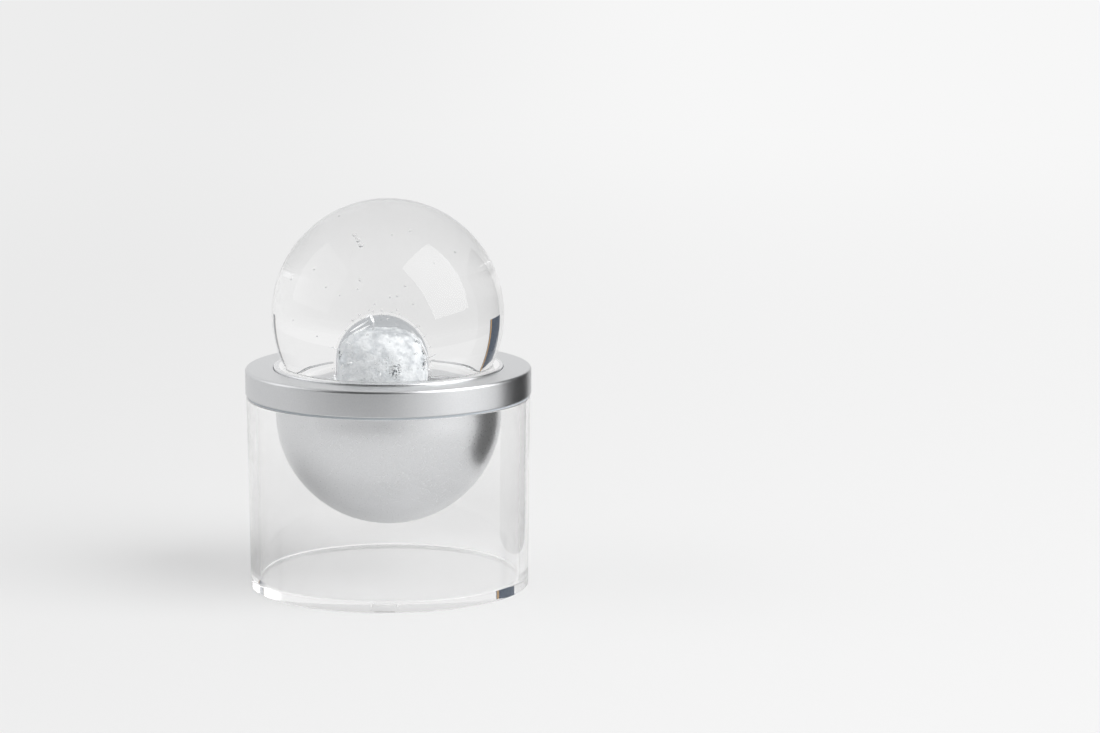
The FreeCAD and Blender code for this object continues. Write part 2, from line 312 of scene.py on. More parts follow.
bpy.ops.mesh.primitive_cylinder_add(
    vertices=ROLL_SIDES, radius=ROLL_RADIUS, depth=ROLL_HEIGHT, location=(*ROLL_PLACE, ROLL_HEIGHT / 2)
)
roll = bpy.context.object
roll.name = "black_roll"
roll.data.materials.append(card_paint("black_card", BLACK_CARD))
roll.visible_camera = roll.visible_diffuse = roll.visible_shadow = roll.visible_transmission = False

bpy.ops.mesh.primitive_plane_add(size=1, location=(*CLOTH_PLACE, 0))
cloth = bpy.context.object
cloth.name = "grey_cloth"
cloth.scale = (*CLOTH_SIZE, 1)
cloth.data.materials.append(card_paint("grey_cloth", CLOTH))
cloth.visible_camera = cloth.visible_diffuse = cloth.visible_shadow = cloth.visible_transmission = False

for name, shade, (across, back), (width, height) in CARDS:
    bpy.ops.mesh.primitive_plane_add(
        size=1,
        location=(across * MM, back * MM, height * MM / 2),
        rotation=(math.radians(90), 0, math.atan2(back, across) + math.radians(90)),
    )
    card = bpy.context.object
    card.name = name
    card.scale = (width * MM, height * MM, 1)
    card.data.materials.append(card_paint(name, shade))
    card.visible_camera = card.visible_diffuse = card.visible_shadow = card.visible_glossy = False

# Cup floor
# A disc of cast acrylic, 3.3 mm thick, with a polished edge. It is clear and glossy, and its edge carries
# light round. At the front the edge holds the shallow oval that the mould's gate left, with a smaller oval
# in it.
CUP_BASE_RADIUS = 42.1
CUP_RIM_RADIUS = 42.8
CUP_HEIGHT = 58.0
CUP_FLOOR_THICKNESS = 3.3
CUP_EDGE_FILLET = 0.3
BOND_GAP = 0.02
GATE_MARK = (8.0, 1.9)
GATE_MARK_DEPTH = 0.2
GATE_BUTTON = (4.4, 0.8)
GATE_BUTTON_THICKNESS = 0.12
OVAL_SIDES = 32
CUT_MARGIN = 1.0
RING_STEPS = 256
FILLET_STEPS = 6
MERGE_WITHIN = 0.001
FIND_WITHIN = 0.01
SMOOTH_UNDER = math.radians(30)
ACRYLIC = "#FFFFFF"
ACRYLIC_LIGHT = "#FAFAFA"
ACRYLIC_IOR = 1.49
REFLECTIONS_INSIDE = 3


def turned(name, section, fillets=(), steps=RING_STEPS):
    """A closed section, given as radius and height in mm, spun round the upright axis.

    A fillet names the radius and height of the sharp ring that it rounds, and its own radius.
    """
    bpy.ops.object.select_all(action="DESELECT")
    bpy.ops.mesh.primitive_circle_add(vertices=len(section))
    piece = bpy.context.object
    piece.name = piece.data.name = name
    for corner, (radius, height) in zip(piece.data.vertices, section):
        corner.co = (radius * MM, 0, height * MM)
    bpy.ops.object.mode_set(mode="EDIT")
    bpy.ops.mesh.select_all(action="SELECT")
    bpy.ops.mesh.spin(steps=steps, angle=math.tau, center=(0, 0, 0), axis=(0, 0, 1))
    bpy.ops.mesh.select_all(action="SELECT")
    bpy.ops.mesh.remove_doubles(threshold=MERGE_WITHIN * MM)
    bpy.ops.mesh.delete_loose()
    bpy.ops.mesh.select_all(action="SELECT")
    bpy.ops.mesh.normals_make_consistent(inside=False)
    for radius, height, size in fillets:
        select_ring(piece, radius, height)
        bpy.ops.mesh.bevel(offset=size * MM, segments=FILLET_STEPS, profile=0.5)
    bpy.ops.object.mode_set(mode="OBJECT")
    bpy.ops.object.shade_smooth_by_angle(angle=SMOOTH_UNDER)
    flats = piece.modifiers.new("flat_faces", "WEIGHTED_NORMAL")
    flats.keep_sharp = True
    bpy.ops.object.modifier_apply(modifier=flats.name)
    return piece


def select_ring(piece, radius, height):
    """Selects the round edge at this radius and height, in edit mode."""
    bpy.ops.mesh.select_mode(type="EDGE")
    bpy.ops.mesh.select_all(action="DESELECT")
    bpy.ops.object.mode_set(mode="OBJECT")
    on_ring = []
    for corner in piece.data.vertices:
        across = abs(math.hypot(corner.co.x, corner.co.y) - radius * MM)
        up = abs(corner.co.z - height * MM)
        on_ring.append(max(across, up) < FIND_WITHIN * MM)
    for edge in piece.data.edges:
        edge.select = all(on_ring[end] for end in edge.vertices)
    bpy.ops.object.mode_set(mode="EDIT")


cup_radius_at_floor = CUP_BASE_RADIUS + (CUP_RIM_RADIUS - CUP_BASE_RADIUS) * CUP_FLOOR_THICKNESS / CUP_HEIGHT
cup_floor = turned(
    "cup_floor_disc",
    [
        (0, 0),
        (CUP_BASE_RADIUS, 0),
        (cup_radius_at_floor, CUP_FLOOR_THICKNESS - BOND_GAP),
        (0, CUP_FLOOR_THICKNESS - BOND_GAP),
    ],
    fillets=[(CUP_BASE_RADIUS, 0, CUP_EDGE_FILLET)],
)


def oval(size, back, front):
    """An upright slab with round ends, between two distances in front of the axis, in mm."""
    width, height = size
    bpy.ops.object.select_all(action="DESELECT")
    bpy.ops.mesh.primitive_cylinder_add(
        vertices=OVAL_SIDES,
        radius=height / 2 * MM,
        depth=(front - back) * MM,
        location=(0, -(front + back) / 2 * MM, CUP_FLOOR_THICKNESS / 2 * MM),
        rotation=(math.radians(90), 0, 0),
    )
    slab = bpy.context.object
    bpy.ops.object.transform_apply(location=True, rotation=True, scale=True)
    for corner in slab.data.vertices:
        corner.co.x += math.copysign((width - height) / 2 * MM, corner.co.x)
    bpy.ops.object.mode_set(mode="EDIT")
    bpy.ops.mesh.select_all(action="SELECT")
    bpy.ops.mesh.convex_hull()
    bpy.ops.object.mode_set(mode="OBJECT")
    return slab


def cut(piece, tool):
    """Cuts the tool's solid out of the piece, and removes the tool."""
    cutting = piece.modifiers.new("cut", "BOOLEAN")
    cutting.operation = "DIFFERENCE"
    cutting.object = tool
    bpy.context.view_layer.objects.active = piece
    bpy.ops.object.modifier_apply(modifier=cutting.name)
    bpy.data.objects.remove(tool)


gate_plane = CUP_BASE_RADIUS - GATE_MARK_DEPTH
gate_mark = oval(GATE_MARK, gate_plane, CUP_BASE_RADIUS + CUT_MARGIN)
cut(gate_mark, oval(GATE_BUTTON, gate_plane - CUT_MARGIN, gate_plane + GATE_BUTTON_THICKNESS))
cut(cup_floor, gate_mark)
bpy.ops.object.select_all(action="DESELECT")
cup_floor.select_set(True)
bpy.ops.object.shade_smooth_by_angle(angle=SMOOTH_UNDER)


def clear_surface(material, body, light_kept, passed=("Is Diffuse Ray",), kept=()):
    """Finishes a clear material. Lamp light and the passed rays go straight through it, dimmed a little.

    So does what has been reflected more often than REFLECTIONS_INSIDE, which would come out black.
    """
    path = add_node(material, "ShaderNodeLightPath")
    straight = add_node(material, "ShaderNodeBsdfTransparent", {"Color": linear(light_kept)})
    often = add_node(
        material,
        "ShaderNodeMath",
        {0: path.outputs["Glossy Depth"], 1: REFLECTIONS_INSIDE},
        operation="GREATER_THAN",
    )
    layers = [(path.outputs[ray], straight) for ray in passed]
    layers += [(path.outputs[ray], body) for ray in kept]
    layers += [(often.outputs[0], straight), (path.outputs["Is Shadow Ray"], straight)]
    surface = body
    for share, shader in layers:
        surface = add_node(
            material, "ShaderNodeMixShader", {0: share, 1: surface.outputs[0], 2: shader.outputs[0]}
        )
    add_node(material, "ShaderNodeOutputMaterial", {"Surface": surface.outputs[0]})


acrylic = new_material("cast_acrylic")
acrylic_body = add_node(
    acrylic,
    "ShaderNodeBsdfPrincipled",
    {"Base Color": linear(ACRYLIC), "Roughness": 0.0, "IOR": ACRYLIC_IOR, "Transmission Weight": 1.0},
)
clear_surface(acrylic, acrylic_body, ACRYLIC_LIGHT)
cup_floor.data.materials.append(acrylic)
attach(cup_floor, "cup")
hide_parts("cup_floor")

# Cup wall
# A clear acrylic tube with a slight draft and a 3 mm wall, cemented on the floor with its edge flush. It is
# as clear and glossy as the floor, and what satin metal and matt paper reflect goes straight through it.
CUP_WALL_THICKNESS = 3.0

cup_mouth_radius = CUP_RIM_RADIUS - CUP_WALL_THICKNESS
cup_wall = turned(
    "cup_wall_tube",
    [
        (cup_radius_at_floor, CUP_FLOOR_THICKNESS),
        (CUP_RIM_RADIUS, CUP_HEIGHT),
        (cup_mouth_radius, CUP_HEIGHT),
        (cup_radius_at_floor - CUP_WALL_THICKNESS, CUP_FLOOR_THICKNESS),
    ],
    fillets=[
        (CUP_RIM_RADIUS, CUP_HEIGHT, CUP_EDGE_FILLET),
        (cup_mouth_radius, CUP_HEIGHT, CUP_EDGE_FILLET),
    ],
)
tube_acrylic = new_material("extruded_acrylic")
tube_body = add_node(
    tube_acrylic,
    "ShaderNodeBsdfPrincipled",
    {"Base Color": linear(ACRYLIC), "Roughness": 0.0, "IOR": ACRYLIC_IOR, "Transmission Weight": 1.0},
)
clear_surface(
    tube_acrylic, tube_body, ACRYLIC_LIGHT, passed=("Is Reflection Ray",), kept=("Is Singular Ray",)
)
cup_wall.data.materials.append(tube_acrylic)
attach(cup_wall, "cup")
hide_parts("cup_wall")

# Gasket
# A flat washer of moulded silicone, which the collar lies on. Its dull pale grey shows as no more than a thin
# line under the metal.
GASKET_THICKNESS = 0.6
GASKET_OUTER = 42.6
GASKET_INNER = 39.9
SILICONE = "#AEB4BA"
SILICONE_IOR = 1.41

gasket_top = CUP_HEIGHT + GASKET_THICKNESS
gasket = turned(
    "collar_gasket_washer",
    [
        (GASKET_INNER, CUP_HEIGHT),
        (GASKET_OUTER, CUP_HEIGHT),
        (GASKET_OUTER, gasket_top),
        (GASKET_INNER, gasket_top),
    ],
)
silicone = new_material("moulded_silicone")
silicone_body = add_node(
    silicone,
    "ShaderNodeBsdfPrincipled",
    {"Base Color": linear(SILICONE), "Roughness": 0.5, "IOR": SILICONE_IOR},
)
add_node(silicone, "ShaderNodeOutputMaterial", {"Surface": silicone_body.outputs[0]})
gasket.data.materials.append(silicone)
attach(gasket, "collar")
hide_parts("collar_gasket")

# Collar
# A ring turned from aluminium and bead-blasted, which gives it a soft sheen with a fine even grain. It is
# filleted at the top and the foot, and counterbored for the bowl's flange.
COLLAR_RADIUS = 43.1
COLLAR_HEIGHT = 8.0
COLLAR_TOP_FILLET = 0.9
COLLAR_FOOT_FILLET = 0.4
COLLAR_MOUTH_CHAMFER = 0.2
REGISTER_RADIUS = 39.6
REGISTER_DEPTH = 1.2
BORE_RADIUS = 34.1
COUNTERBORE_RADIUS = 34.6
COUNTERBORE_DEPTH = 2.5
ALUMINIUM = "#DADBDC"
ALUMINIUM_DULL = "#CACBCD"
ALUMINIUM_ROUGHNESS = (0.28, 0.38)
GRAIN = 0.45
GRAIN_RELIEF = 0.03
GRAIN_STRENGTH = 0.25

collar_top = gasket_top + COLLAR_HEIGHT
register_foot = gasket_top - REGISTER_DEPTH
counterbore_floor = collar_top - COUNTERBORE_DEPTH
collar = turned(
    "collar_turning",
    [
        (BORE_RADIUS, register_foot),
        (REGISTER_RADIUS, register_foot),
        (REGISTER_RADIUS, gasket_top),
        (COLLAR_RADIUS, gasket_top),
        (COLLAR_RADIUS, collar_top),
        (COUNTERBORE_RADIUS + COLLAR_MOUTH_CHAMFER, collar_top),
        (COUNTERBORE_RADIUS, collar_top - COLLAR_MOUTH_CHAMFER),
        (COUNTERBORE_RADIUS, counterbore_floor),
        (BORE_RADIUS, counterbore_floor),
    ],
    fillets=[
        (COLLAR_RADIUS, collar_top, COLLAR_TOP_FILLET),
        (COLLAR_RADIUS, gasket_top, COLLAR_FOOT_FILLET),
    ],
)


def satin_aluminium(name, bright, dull, roughness):
    """Aluminium with a fine even grain, drawn a few times coarser than it is so that it shows."""
    aluminium = new_material(name)
    aluminium_place = add_node(aluminium, "ShaderNodeTexCoord")
    grain = add_node(
        aluminium,
        "ShaderNodeTexNoise",
        {
            "Vector": aluminium_place.outputs["Object"],
            "Scale": 1 / (GRAIN * MM),
            "Detail": 2.0,
            "Roughness": 0.6,
        },
    )
    colour = add_node(
        aluminium,
        "ShaderNodeMix",
        {"Factor": grain.outputs[0], 6: linear(dull), 7: linear(bright)},
        data_type="RGBA",
    )
    blur = add_node(
        aluminium,
        "ShaderNodeMapRange",
        {"Value": grain.outputs[0], "To Min": roughness[0], "To Max": roughness[1]},
    )
    bump = add_node(
        aluminium,
        "ShaderNodeBump",
        {"Height": grain.outputs[0], "Strength": GRAIN_STRENGTH, "Distance": GRAIN_RELIEF * MM},
    )
    body = add_node(
        aluminium,
        "ShaderNodeBsdfPrincipled",
        {
            "Base Color": colour.outputs[2],
            "Metallic": 1.0,
            "Roughness": blur.outputs[0],
            "Normal": bump.outputs[0],
        },
    )
    add_node(aluminium, "ShaderNodeOutputMaterial", {"Surface": body.outputs[0]})
    return aluminium


collar.data.materials.append(
    satin_aluminium("bead_blasted_aluminium", ALUMINIUM, ALUMINIUM_DULL, ALUMINIUM_ROUGHNESS)
)
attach(collar, "collar")
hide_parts("collar_ring")

# Mould bowl
# A deep aluminium shell, half a sphere under a straight neck, spun and blasted a little finer than the
# collar.
# Its colour is painted lighter than the collar's, as painted light. Its flange drops into the collar, its
# conical seat carries the ball, and a countersunk drain lets the melt run into the cup.
BOWL_NECK = 10.9
CAVITY_RADIUS = 31.0
BOWL_RADIUS = 34.0
FLANGE_RADIUS = 34.5
RIM_PROUD = 0.5
RIM_FILLET = 0.35
SEAT_TOP_RADIUS = 31.607
SEAT_FOOT = 65.907
DRAIN_RADIUS = 2.5
DRAIN_COUNTERSINK = 0.8
# Both tones are painted light: lighter than the collar's, which is the same aluminium. The grain mixes them.
LIT_BOWL_ALUMINIUM = "#E8E9EA"
LIT_BOWL_ALUMINIUM_DULL = "#DCDDDF"
BOWL_ROUGHNESS = (0.24, 0.34)
ARC_STEPS = 48


def quarter(radius, centre, inner):
    """The points of a bowl's arc from its side down to the radius inner."""
    last = math.acos(inner / radius)
    turns = [last * step / ARC_STEPS for step in range(ARC_STEPS + 1)]
    return [(radius * math.cos(turn), centre - radius * math.sin(turn)) for turn in turns]


rim_top = collar_top + RIM_PROUD
bowl_centre = counterbore_floor - BOWL_NECK
countersink_foot = bowl_centre - math.sqrt(CAVITY_RADIUS**2 - DRAIN_RADIUS**2) - DRAIN_COUNTERSINK
bowl = turned(
    "mould_bowl_shell",
    [(SEAT_TOP_RADIUS, rim_top), (CAVITY_RADIUS, SEAT_FOOT)]
    + quarter(CAVITY_RADIUS, bowl_centre, DRAIN_RADIUS + DRAIN_COUNTERSINK)
    + [(DRAIN_RADIUS, countersink_foot)]
    + quarter(BOWL_RADIUS, bowl_centre, DRAIN_RADIUS)[::-1]
    + [(BOWL_RADIUS, counterbore_floor), (FLANGE_RADIUS, counterbore_floor), (FLANGE_RADIUS, rim_top)],
    fillets=[(FLANGE_RADIUS, rim_top, RIM_FILLET)],
)
bowl.data.materials.append(
    satin_aluminium("spun_aluminium", LIT_BOWL_ALUMINIUM, LIT_BOWL_ALUMINIUM_DULL, BOWL_ROUGHNESS)
)
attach(bowl, "bowl")
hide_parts("mould_bowl")

# Ice ball
# A blank of clear ice, frozen slowly, glossy and very slightly wavy from melting. It holds air bubbles, and
# grains and cracks round its nucleus. Melt water stands round its foot in a film, low in front and higher
# behind, with a fine bead along its top.
BALL_CENTRE = 82.46
BALL_RADIUS = 35.0
BALL_STEPS = (120, 100)
MELT_WAVE = 14.0
MELT_DEPTH = 0.05
MELT_SMOOTH_UNDER = math.radians(40)
FILM_TOP = 69.8
FILM_CURVE = 1.06
FILM_RADIUS = 34.4
FILM_OVERLAP = 0.01
FILM_STEPS = 16
FILM_BEAD = 0.22
FILM_BEAD_TURN = math.radians(12)
FILM_TUCK = 0.1
FILM_HOLD = 75.0
FILM_SHARE = (0.12, 1.0)
FILM_BACK = (0.35, 0.9)
ICE = "#F9F9F9"
ICE_LIGHT = "#F6F7F7"
ICE_IOR = 1.31
BUBBLES = [
    (-8.1, -2.35, 102.75, 0.5),
    (-7.65, -2.5, 101.9, 0.3),
    (-7.1, -2.7, 101.3, 0.6),
    (-6.45, -2.93, 100.1, 0.62),
    (16.5, -0.12, 97.9, 0.3),
    (-17.97, -3.08, 94.18, 0.3),
    (-23.38, 0.57, 90.97, 0.3),
    (-15.03, -6.49, 90.31, 0.25),
    (-6.59, -7.94, 92.33, 0.35),
    (-7.08, -8.61, 90.18, 0.25),
    (4.58, -8.36, 90.9, 0.3),
    (-11.55, -8.2, 88.6, 0.25),
    (0.88, -9.46, 88.31, 0.25),
    (2.61, -9.29, 88.53, 0.3),
    (6.57, -9.24, 86.51, 0.25),
    (-2.84, -9.9, 86.62, 0.25),
    (-4.33, -10.12, 85.15, 0.2),
    (2.62, -10.04, 85.14, 0.2),
    (-17.26, -7.68, 78.25, 0.25),
    (-23.05, -3.4, 81.57, 0.2),
    (-11.72, 6.29, 105.03, 0.25),
    (5.56, -0.8, 103.28, 0.25),
    (1.19, -2.28, 102.58, 0.2),
    (11.61, -4.4, 95.99, 0.2),
]
BUBBLE_STEPS = (20, 10)
NUCLEUS_PLACE = Vector((-1.4, 0.0, 71.7))
NUCLEUS_RADIUS = 11.05
GRAIN_SEED = 7
GRAIN_DIVISIONS = 2
GRAINS = 140
CLUSTER_GRAINS = 46
CLUSTER_WAY = (0.2, -0.95, -0.12)
CLUSTER_SPREAD = 0.13
GRAIN_RADII = (0.12, 0.34)
GRAIN_RISES = (0.25, 0.7)
CRACK_OPENING = 0.12
CRACKS = [
    ((7.0, -4.5, 7.7), (9.1, -4.5, 5.0), 0.5),
    ((9.4, -4.9, 4.1), (10.7, -3.7, 1.1), 0.9),
    ((10.7, -3.7, 1.1), (10.1, -5.0, -1.2), 0.7),
    ((9.9, -5.5, 0.5), (12.6, -1.6, 1.6), 0.35),
    ((10.1, -5.1, 0.0), (12.4, -2.4, 0.4), 0.35),
    ((-1.8, -5.9, 9.5), (-1.9, -7.8, 7.9), 0.5),
]
FLAKE_DIVISIONS = 3


def ball_arc(first, last, steps):
    """Points of the ball's section between two heights."""
    turns = [math.asin((height - BALL_CENTRE) / BALL_RADIUS) for height in (first, last)]
    turns = [turns[0] + (turns[1] - turns[0]) * step / steps for step in range(steps + 1)]
    return [(BALL_RADIUS * math.cos(turn), BALL_CENTRE + BALL_RADIUS * math.sin(turn)) for turn in turns]


film_foot = rim_top - FILM_OVERLAP
film_radius, film_top = ball_arc(FILM_TOP, FILM_TOP, 1)[0]
film_curve = []
for step in range(1, FILM_STEPS):
    along = math.radians(90) * step / FILM_STEPS
    bead = FILM_BEAD * math.sin(math.pi * along / FILM_BEAD_TURN) if along < FILM_BEAD_TURN else 0
    film_curve.append(
        (
            FILM_RADIUS + (film_radius - FILM_RADIUS) * math.cos(along) ** FILM_CURVE + bead,
            film_foot + (film_top - film_foot) * (1 - math.sin(along)) ** FILM_CURVE,
        )
    )
ball = turned(
    "ice_ball_blank",
    ball_arc(BALL_CENTRE + BALL_RADIUS, FILM_TOP, BALL_STEPS[0])
    + film_curve
    + [
        (FILM_RADIUS, film_foot),
        (SEAT_TOP_RADIUS + FILM_OVERLAP, film_foot),
        (CAVITY_RADIUS + FILM_OVERLAP, SEAT_FOOT),
    ]
    + ball_arc(SEAT_FOOT - FILM_TUCK, BALL_CENTRE - BALL_RADIUS, BALL_STEPS[1]),
)
# The film is lowered everywhere but behind, and the ball's surface above it is spread down to meet it.
for point in ball.data.vertices:
    across, back, height = point.co / MM
    if not film_foot < height < FILM_HOLD:
        continue
    reach = math.hypot(across, back)
    turn = min(max((back / reach - FILM_BACK[0]) / (FILM_BACK[1] - FILM_BACK[0]), 0), 1)
    share = FILM_SHARE[0] + (FILM_SHARE[1] - FILM_SHARE[0]) * turn * turn * (3 - 2 * turn)
    proud = reach - math.sqrt(BALL_RADIUS**2 - (height - BALL_CENTRE) ** 2)
    top = film_foot + (film_top - film_foot) * share
    if height < film_top:
        lowered = film_foot + (height - film_foot) * share
    else:
        lowered = FILM_HOLD - (FILM_HOLD - height) * (FILM_HOLD - top) / (FILM_HOLD - film_top)
    kept = (math.sqrt(BALL_RADIUS**2 - (lowered - BALL_CENTRE) ** 2) + proud * share) / reach
    point.co = (across * kept * MM, back * kept * MM, lowered * MM)
melt = bpy.data.textures.new("melt", "CLOUDS")
melt.noise_scale = MELT_WAVE * MM
melt.noise_depth = 1
wave = ball.modifiers.new("melt", "DISPLACE")
wave.texture = melt
wave.texture_coords = "LOCAL"
wave.mid_level = 1.0
wave.strength = MELT_DEPTH * MM
bpy.ops.object.modifier_apply(modifier=wave.name)
bpy.ops.object.shade_smooth_by_angle(angle=MELT_SMOOTH_UNDER)


def join(pieces, into):
    """Makes the pieces a part of another one, which keeps its name."""
    bpy.ops.object.select_all(action="DESELECT")
    for piece in pieces:
        piece.select_set(True)
    into.select_set(True)
    bpy.context.view_layer.objects.active = into
    bpy.ops.object.join()


def flake(start, end, width, thickness):
    """A thin lens between two points, in mm from the nucleus, that lies along its surface."""
    start, end = Vector(start), Vector(end)
    along = (end - start).normalized()
    side = ((start + end) / 2).cross(along).normalized()
    bpy.ops.mesh.primitive_ico_sphere_add(
        subdivisions=FLAKE_DIVISIONS,
        radius=1,
        location=(NUCLEUS_PLACE + (start + end) / 2) * MM,
        rotation=Matrix((along, side, along.cross(side))).transposed().to_euler(),
        scale=((end - start).length / 2 * MM, width / 2 * MM, thickness / 2 * MM),
    )
    return bpy.context.object


air = []
for x, y, z, radius in BUBBLES:
    bpy.ops.mesh.primitive_uv_sphere_add(
        segments=BUBBLE_STEPS[0],
        ring_count=BUBBLE_STEPS[1],
        radius=radius * MM,
        location=(x * MM, y * MM, z * MM),
    )
    air.append(bpy.context.object)
draw = random.Random(GRAIN_SEED)
for number in range(GRAINS):
    if number < CLUSTER_GRAINS:
        way_out = Vector(CLUSTER_WAY) + Vector([draw.gauss(0, CLUSTER_SPREAD) for axis in range(3)])
    else:
        way_out = Vector([draw.gauss(0, 1) for axis in range(3)])
    place = NUCLEUS_PLACE + way_out.normalized() * (NUCLEUS_RADIUS + draw.uniform(*GRAIN_RISES))
    bpy.ops.mesh.primitive_ico_sphere_add(
        subdivisions=GRAIN_DIVISIONS, radius=draw.uniform(*GRAIN_RADII) * MM, location=place * MM
    )
    air.append(bpy.context.object)
for start, end, width in CRACKS:
    air.append(flake(start, end, width, CRACK_OPENING))
join(air[1:], air[0])
bpy.ops.object.transform_apply(location=True, rotation=True, scale=True)
bpy.ops.object.mode_set(mode="EDIT")
bpy.ops.mesh.select_all(action="SELECT")
bpy.ops.mesh.normals_make_consistent(inside=False)
bpy.ops.mesh.flip_normals()
bpy.ops.object.mode_set(mode="OBJECT")
bpy.ops.object.shade_smooth()
join([air[0]], ball)

ice = new_material("clear_ice")
ice_body = add_node(
    ice,
    "ShaderNodeBsdfPrincipled",
    {"Base Color": linear(ICE), "Roughness": 0.0, "IOR": ICE_IOR, "Transmission Weight": 1.0},
)
clear_surface(ice, ice_body, ICE_LIGHT)
ball.data.materials.append(ice)
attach(ball, "ball")
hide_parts("ice_ball")

# Nucleus
# The cloudy ice that froze last, low inside the ball: a frosted lump full of trapped air, white and dull,
# which thins out towards its top. Dark specks on it are painted reflections, and its faint glow is painted
# light. It sits in a thin clear skin with a bright outline, tinted grey as painted shade, and fine slits and
# frost needles grow out of it.
# Painted shade: the skin's grey tint darkens what is seen through it, chiefly the crescent above the lump.
SKIN_SHADE = "#CACDD0"
SKIN_ROUGHNESS = 0.03
SKIN_IOR = 0.95
SKIN_SQUARENESS = 2.0
CORE_SQUARENESS = 4.0
LUMP_SQUARENESS = 2.5
CORE_STEPS = 60
CORE_RING_STEPS = 160
NUCLEUS_FOOT = 10.4
LUMP_PLACE = Vector((-1.4, 0.0, 71.0))
LUMP_RADII = (10.75, 8.7)
LUMP_WAVE = 2.6
LUMP_DEPTH = 0.9
FROST = "#FFFFFF"
FROST_DULL = "#D8DADC"
FROST_CLOUD = 3.0
FROST_CLOUD_EDGE = (0.36, 0.56)
FROST_TOP = (75.5, 81.0)
FROST_THINNING = 0.24
FROST_CLEAR_EDGE = (0.3, 0.44)
FROST_CLEAR_SHARE = (0.8, 0.1)
FROST_GRAIN = 0.6
FROST_RELIEF = 0.35
FROST_STRENGTH = 0.7
FROST_ROUGHNESS = 0.45
FROST_IOR = 1.15
# Painted reflection: dark specks in patches on the frost, for air pockets that reflect dark surroundings.
DARK_REFLECTION_SPECKS = "#585C60"
SPECK_GRAIN = 0.4
SPECK_EDGE = (0.74, 0.8)
SPECK_PULL = 0.27
SPECK_SPREAD = (0.5, 1.6)
SPECK_PATCHES = [
    ((3.6, -9.6, -1.4), 1.5),
    ((2.9, -9.7, -2.6), 1.2),
    ((8.6, -3.8, 4.9), 1.1),
    ((9.6, -3.2, 2.3), 1.3),
    ((9.8, -3.6, -0.6), 1.3),
    ((-9.9, -3.4, 1.6), 1.1),
]
FROST_LIGHT = "#FFFFFF"
# Painted light: the frost glows a little, standing in for the light that scatters inside it.
FROST_PAINTED_GLOW = 0.26
SLITS = [
    ((-7.5, -4.5, 7.2), (-3.2, -4.5, 9.9), 0.7),
    ((-6.6, -5.9, 7.0), (-2.7, -6.1, 9.1), 0.6),
    ((-3.6, -3.0, 10.4), (-2.7, -1.1, 11.0), 0.5),
    ((-2.7, -1.4, 11.0), (-1.8, -5.9, 9.6), 0.7),
    ((-9.7, -5.5, -1.6), (-9.3, -6.8, -0.4), 0.5),
]
SLIT_THICKNESS = 0.25
NEEDLES = 36
NEEDLE_SIDES = 8
NEEDLE_THICKNESS = 0.16
NEEDLE_LENGTH = (1.2, 2.8)
NEEDLE_ROOT = 0.3
NEEDLE_TILT = (-0.3, 0.45)


def core_form(name, place, radius, rise, squareness):
    """A form with a rounded top and a squarer foot. Its rise is its height above its widest place, in mm."""
    section = []
    for step in range(CORE_STEPS + 1):
        turn = math.radians(90 - 90 * step / CORE_STEPS)
        section.append(
            (
                radius * max(math.cos(turn), 0) ** (2 / squareness),
                place.z + rise * math.sin(turn) ** (2 / squareness),
            )
        )
    for step in range(1, CORE_STEPS + 1):
        turn = math.radians(90 * step / CORE_STEPS)
        section.append(
            (
                radius * max(math.cos(turn), 0) ** (2 / CORE_SQUARENESS),
                place.z - NUCLEUS_FOOT * math.sin(turn) ** (2 / CORE_SQUARENESS),
            )
        )
    form = turned(name, section, steps=CORE_RING_STEPS)
    bpy.ops.object.mode_set(mode="EDIT")
    bpy.ops.mesh.select_all(action="SELECT")
    bpy.ops.transform.translate(value=(place.x * MM, place.y * MM, 0))
    bpy.ops.object.mode_set(mode="OBJECT")
    bpy.ops.object.shade_smooth()
    return form


nucleus = core_form("ice_core_frost", LUMP_PLACE, *LUMP_RADII, LUMP_SQUARENESS)
lumps = bpy.data.textures.new("nucleus_lumps", "CLOUDS")
lumps.noise_scale = LUMP_WAVE * MM
lumps.noise_depth = 3
swell = nucleus.modifiers.new("lumps", "DISPLACE")
swell.texture = lumps
swell.texture_coords = "LOCAL"
swell.strength = LUMP_DEPTH * MM
bpy.ops.object.modifier_apply(modifier=swell.name)
bpy.ops.object.shade_smooth()

frost_bits = []
for start, end, width in SLITS:
    frost_bits.append(flake(start, end, width, SLIT_THICKNESS))
for number in range(NEEDLES):
    way_out = Vector((draw.gauss(0, 1), draw.gauss(0, 1), draw.gauss(*NEEDLE_TILT))).normalized()
    length = draw.uniform(*NEEDLE_LENGTH)
    bpy.ops.mesh.primitive_cone_add(
        vertices=NEEDLE_SIDES,
        radius1=NEEDLE_THICKNESS * MM,
        radius2=0,
        depth=length * MM,
        location=(NUCLEUS_PLACE + way_out * (NUCLEUS_RADIUS + length / 2 - NEEDLE_ROOT)) * MM,
        rotation=way_out.to_track_quat("Z", "Y").to_euler(),
    )
    frost_bits.append(bpy.context.object)
join(frost_bits[1:], frost_bits[0])
bpy.ops.object.transform_apply(location=True, rotation=True, scale=True)
join([frost_bits[0]], nucleus)

